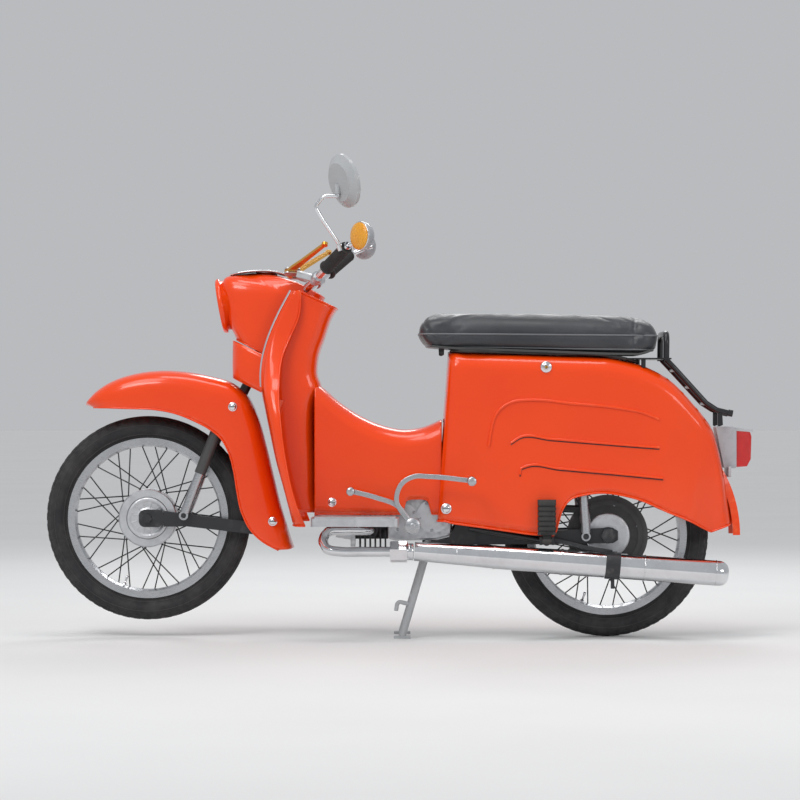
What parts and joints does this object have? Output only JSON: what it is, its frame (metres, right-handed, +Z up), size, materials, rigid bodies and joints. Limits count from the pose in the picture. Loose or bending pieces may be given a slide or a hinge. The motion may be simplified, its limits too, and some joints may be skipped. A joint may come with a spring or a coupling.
{
  "type": "moped scooter",
  "caption": "Step-through moped scooter with pressed bodywork, leading-arm front fork, swept mudguard, horizontal engine, long bench seat and a low full-length silencer.",
  "frame": {"origin": "on the ground at the middle of the bounding box's footprint", "axes": "+Z up, +X towards the tail lamp, the front wheel towards -X, the machine's left side towards -Y"},
  "size_m": [1.868, 0.6424, 1.2594],
  "materials": {
    "body_paint": "gloss",
    "frame_paint": "semi-gloss",
    "arm_paint": "satin",
    "silver_paint": "satin",
    "chrome": "polished",
    "steel": "brushed",
    "alloy": "cast, satin",
    "iron": "rough",
    "tyre": "matte, fine tread",
    "rubber": "matte",
    "seat_cover": "fine-grained vinyl",
    "black_plastic": "satin",
    "grey_plastic": "gloss",
    "lever_metal": "gold-toned, satin",
    "amber": "ribbed, translucent",
    "red_lens": "ribbed, translucent",
    "lamp_glass": "fluted",
    "mirror": "silvered"
  },
  "bodies": {
    "frame": {"main_frame": "frame_paint", "leg_shield": "body_paint", "neck_cover": "body_paint", "column_cover": "body_paint", "chrome_trim": "chrome", "tunnel_cover": "body_paint", "rear_body": "body_paint", "footboards": "alloy", "fuel_tank": "silver_paint", "engine_case": "alloy", "cylinder": "iron", "cylinder_head": "alloy", "header_pipe": "chrome", "silencer": "chrome", "silencer_clamp": "arm_paint", "rear_mudguard": "body_paint", "tail_lamp_housing": "grey_plastic", "tail_lamp_lens": "red_lens", "luggage_carrier": "frame_paint"},
    "steering": {"fork": "arm_paint", "front_fender": "body_paint", "headlamp_housing": "body_paint", "headlamp_rim": "chrome", "headlamp_lens": "lamp_glass", "speedometer": "chrome", "handlebar": "chrome", "left_grip": "rubber", "lever_clamps": "alloy", "indicator_housings": "grey_plastic", "indicator_lenses": "amber", "mirror_arm": "chrome"},
    "mirror": {"mirror_shell": "silver_paint", "mirror_glass": "mirror"},
    "throttle": {"throttle_grip": "rubber"},
    "clutch_lever": {"clutch_lever": "lever_metal"},
    "brake_lever": {"brake_lever": "lever_metal"},
    "front_swing": {"front_swingarm": "arm_paint"},
    "front_wheel": {"front_tyre": "tyre", "front_rim": "steel", "front_spokes": "frame_paint", "front_hub": "alloy"},
    "front_shock_top": {"front_shock_upper": "black_plastic"},
    "front_shock_bottom": {"front_shock_lower": "steel"},
    "rear_swing": {"rear_swingarm": "arm_paint", "chain_case": "black_plastic"},
    "rear_wheel": {"rear_tyre": "tyre", "rear_rim": "steel", "rear_spokes": "frame_paint", "rear_hub": "alloy"},
    "rear_shock_top": {"rear_shock_upper": "black_plastic"},
    "rear_shock_bottom": {"rear_shock_lower": "steel"},
    "stand": {"centre_stand": "silver_paint"},
    "gear_lever": {"gear_lever": "steel"},
    "kickstarter": {"kickstarter": "steel"},
    "brake_pedal": {"brake_pedal": "steel"},
    "seat": {"seat_pan": "black_plastic", "seat_cushion": "seat_cover"},
    "peg_left": {"footpeg_left": "rubber"},
    "peg_right": {"footpeg_right": "rubber"}
  },
  "joints": [
    {"name": "steering_turn", "type": "hinge", "parent": "frame", "child": "steering", "pos_m": [-0.286, 0, 0.896], "axis": [0.454, 0, 0.891], "range_deg": [-35, 35]},
    {"name": "front_swing", "type": "hinge", "parent": "steering", "child": "front_swing", "pos_m": [-0.366, 0, 0.286], "axis": [0, 1, 0], "range_deg": [0, 11], "stiffness_Nm_per_rad": 900, "springref_deg": -8.59},
    {"name": "front_wheel_spin", "type": "hinge", "parent": "front_swing", "child": "front_wheel", "pos_m": [-0.664, 0, 0.314], "axis": [0, 1, 0], "continuous": true},
    {"name": "front_shock_lean", "type": "hinge", "parent": "steering", "child": "front_shock_top", "pos_m": [-0.472, 0, 0.567], "axis": [0, 1, 0], "range_deg": [0, 1.5]},
    {"name": "front_shock_slide", "type": "slide", "parent": "front_shock_top", "child": "front_shock_bottom", "axis": [0.3615, 0, 0.9324], "range_m": [0, 0.042]},
    {"name": "rear_swing", "type": "hinge", "parent": "frame", "child": "rear_swing", "pos_m": [0.17, 0, 0.262], "axis": [0, -1, 0], "range_deg": [0, 8], "stiffness_Nm_per_rad": 1500, "springref_deg": -14.32},
    {"name": "rear_wheel_spin", "type": "hinge", "parent": "rear_swing", "child": "rear_wheel", "pos_m": [0.549, 0, 0.27], "axis": [0, 1, 0], "continuous": true},
    {"name": "rear_shock_lean", "type": "hinge", "parent": "frame", "child": "rear_shock_top", "pos_m": [0.469, 0, 0.583], "axis": [0, -1, 0], "range_deg": [-0.25, 0]},
    {"name": "rear_shock_slide", "type": "slide", "parent": "rear_shock_top", "child": "rear_shock_bottom", "axis": [-0.0665, 0, 0.9978], "range_m": [0, 0.048]},
    {"name": "stand_fold", "type": "hinge", "parent": "frame", "child": "stand", "pos_m": [0.077, 0, 0.24], "axis": [0, -1, 0], "range_deg": [0, 95]},
    {"name": "gear_shift", "type": "hinge", "parent": "frame", "child": "gear_lever", "pos_m": [0.035, 0, 0.299], "axis": [0, 1, 0], "range_deg": [-10, 10], "stiffness_Nm_per_rad": 12},
    {"name": "kick_turn", "type": "hinge", "parent": "frame", "child": "kickstarter", "pos_m": [0.035, 0, 0.299], "axis": [0, 1, 0], "range_deg": [0, 50], "stiffness_Nm_per_rad": 6, "springref_deg": -28.65},
    {"name": "brake_pedal_press", "type": "hinge", "parent": "frame", "child": "brake_pedal", "pos_m": [0.03, 0, 0.299], "axis": [0, -1, 0], "range_deg": [0, 8], "stiffness_Nm_per_rad": 15, "springref_deg": -11.46},
    {"name": "seat_lift", "type": "hinge", "parent": "frame", "child": "seat", "pos_m": [0.112, 0, 0.75], "axis": [0, -1, 0], "range_deg": [0, 70]},
    {"name": "peg_left_fold", "type": "hinge", "parent": "frame", "child": "peg_left", "pos_m": [0.385, -0.15, 0.258], "axis": [1, 0, 0], "range_deg": [0, 90]},
    {"name": "peg_right_fold", "type": "hinge", "parent": "frame", "child": "peg_right", "pos_m": [0.385, 0.15, 0.258], "axis": [-1, 0, 0], "range_deg": [0, 90]},
    {"name": "clutch_squeeze", "type": "hinge", "parent": "steering", "child": "clutch_lever", "pos_m": [-0.29, -0.1, 0.962], "axis": [0.0612, 0.4823, 0.8738], "range_deg": [0, 7], "stiffness_Nm_per_rad": 8, "springref_deg": -5.73},
    {"name": "brake_squeeze", "type": "hinge", "parent": "steering", "child": "brake_lever", "pos_m": [-0.29, 0.1, 0.962], "axis": [-0.0612, 0.4823, -0.8738], "range_deg": [0, 7], "stiffness_Nm_per_rad": 8, "springref_deg": -5.73},
    {"name": "throttle_twist", "type": "hinge", "parent": "steering", "child": "throttle", "pos_m": [-0.13, 0.245, 1.026], "axis": [0.4866, 0.7454, 0.4557], "range_deg": [0, 70], "stiffness_Nm_per_rad": 0.6, "springref_deg": -5.73},
    {"name": "mirror_tilt", "type": "hinge", "parent": "steering", "child": "mirror", "pos_m": [-0.158, -0.258, 1.172], "axis": [0, 0, 1], "range_deg": [-12, 12]}
  ],
  "couplings": [
    {"joint": "front_shock_lean", "follows": "front_swing", "ratio": 0.10024},
    {"joint": "front_shock_slide", "follows": "front_swing", "m_per_rad": 0.20277},
    {"joint": "rear_shock_lean", "follows": "rear_swing", "ratio": -0.015567},
    {"joint": "rear_shock_slide", "follows": "rear_swing", "m_per_rad": 0.31971}
  ]
}
